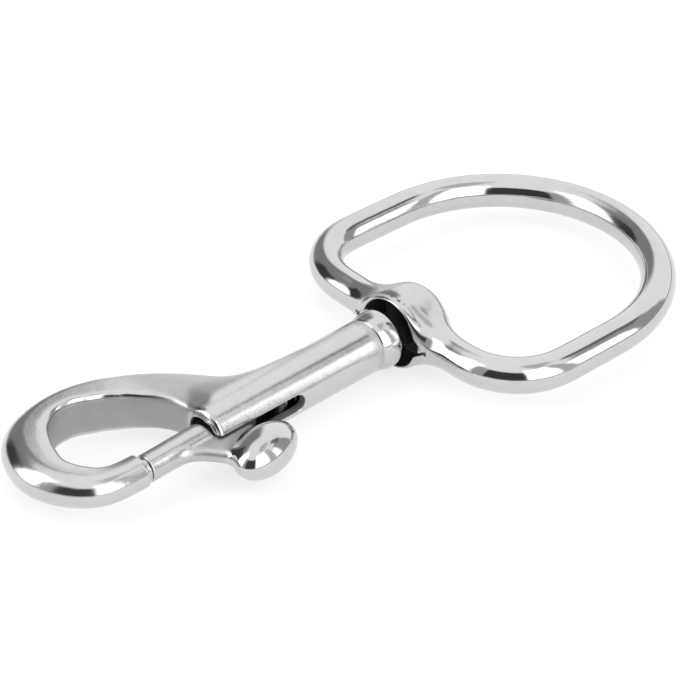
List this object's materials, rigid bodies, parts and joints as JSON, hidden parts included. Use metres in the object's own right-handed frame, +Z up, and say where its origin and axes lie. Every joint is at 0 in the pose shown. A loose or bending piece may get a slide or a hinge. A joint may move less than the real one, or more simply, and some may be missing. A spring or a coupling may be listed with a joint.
{
  "type": "swivel bolt snap hook",
  "caption": "Polished steel bolt snap: cast hook and barrel, sprung thumb bolt that closes the hook, and a wide D-shaped webbing eye on a swivel.",
  "frame": {"origin": "centre of the overall box in X and Y, at the height of the lowest point", "axes": "+X along the barrel from the hook to the eye, +Z up, +Y to the side that the hook bulges to; the thumb knob stands out to -Y"},
  "size_m": [0.134, 0.064, 0.014],
  "materials": {
    "polished_casting": "polished cast stainless steel, brushed along the barrel and matte inside the hook",
    "bolt_casting": "polished cast stainless steel, grainy as-cast web",
    "spring_wire": "bright drawn spring wire",
    "turned_stud": "turned and polished stainless steel",
    "polished_eye": "mirror polished cast stainless steel"
  },
  "bodies": {
    "body": {"snap_body": "polished_casting", "swivel_stud": "turned_stud", "return_spring": "spring_wire"},
    "bolt": {"bolt": "bolt_casting"},
    "eye": {"swivel_eye": "polished_eye"}
  },
  "joints": [
    {"name": "bolt_slide", "type": "slide", "parent": "body", "child": "bolt", "axis": [1, 0, 0], "range_m": [0, 0.01], "stiffness_N_per_m": 1300, "springref_m": -0.004, "deforming": ["return_spring"]},
    {"name": "eye_swivel", "type": "hinge", "parent": "body", "child": "eye", "pos_m": [0.0136, 0, 0.007], "axis": [1, 0, 0], "continuous": true}
  ]
}
